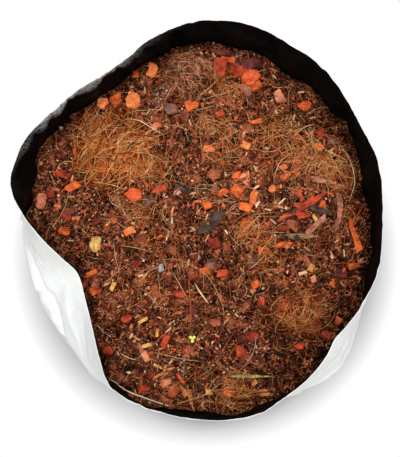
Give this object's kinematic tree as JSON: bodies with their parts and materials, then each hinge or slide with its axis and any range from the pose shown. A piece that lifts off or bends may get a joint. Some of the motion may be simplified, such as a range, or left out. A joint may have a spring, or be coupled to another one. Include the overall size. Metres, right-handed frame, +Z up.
{
  "type": "grow bag",
  "caption": "Open-topped round film grow bag filled with a coir growing medium, with husk chips, fibre tufts and strips bedded in the surface and drain holes low in the wall.",
  "frame": {"origin": "middle of the flat base, on the surface that the bag stands on", "axes": "+X to the right, +Y to the back, +Z up through the open top; the rim's larger fold lies at -X -Y"},
  "size_m": [0.3038, 0.3282, 0.302],
  "materials": {
    "film": "satin polythene film, white outside and black inside",
    "medium": "moist loose coir pith, dark brown and matt",
    "fibre": "matted golden coir fibre, matt",
    "dust": "matted brown coir fibre with pith dust, matt",
    "orange": "orange husk, rough and matt",
    "red": "red-brown husk, rough and matt",
    "maroon": "dark red-brown husk, rough and matt",
    "brown": "grey-brown husk and wood, rough and matt",
    "pink": "pale red-brown husk, rough and matt",
    "ochre": "pale ochre husk, fibrous and matt",
    "straw": "dry straw, satin"
  },
  "bodies": {
    "root": {"coir_tuft_back": "dust", "coir_tuft_left": "fibre", "coir_tuft_right": "fibre", "curled_husk_strip": "brown", "dry_leaf_strip": "brown", "film_bag": "film", "growing_medium": "medium", "husk_chip_01": "orange", "husk_chip_02": "orange", "husk_chip_03": "orange", "husk_chip_04": "red", "husk_chip_05": "red", "husk_chip_06": "brown", "husk_chip_07": "orange", "husk_chip_08": "pink", "husk_chip_09": "pink", "husk_chip_10": "orange", "husk_chip_11": "orange", "husk_chip_12": "orange", "husk_chip_13": "maroon", "husk_chip_14": "orange", "husk_chip_15": "pink", "husk_chip_16": "orange", "husk_chip_17": "orange", "husk_chip_18": "orange", "husk_chip_19": "orange", "husk_chip_20": "brown", "husk_chip_21": "red", "husk_chip_22": "maroon", "husk_chip_23": "orange", "husk_chip_24": "orange", "husk_chip_25": "orange", "husk_chip_26": "red", "husk_chip_27": "orange", "husk_chip_28": "red", "husk_chip_29": "red", "husk_chip_30": "red", "husk_chip_31": "red", "husk_chip_32": "maroon", "husk_chip_33": "red", "husk_chip_34": "orange", "husk_chip_35": "red", "husk_chip_36": "red", "husk_chip_37": "brown", "husk_chip_38": "brown", "husk_chip_39": "orange", "husk_chip_40": "red", "husk_chip_41": "orange", "husk_chip_42": "red", "husk_chip_43": "red", "husk_chip_44": "red", "husk_chip_45": "pink", "husk_chip_46": "pink", "husk_sliver": "red", "orange_husk_strip": "orange", "pale_husk_lump": "ochre", "red_husk_strip": "red", "straw": "straw", "wood_splinter": "brown"}
  },
  "joints": []
}
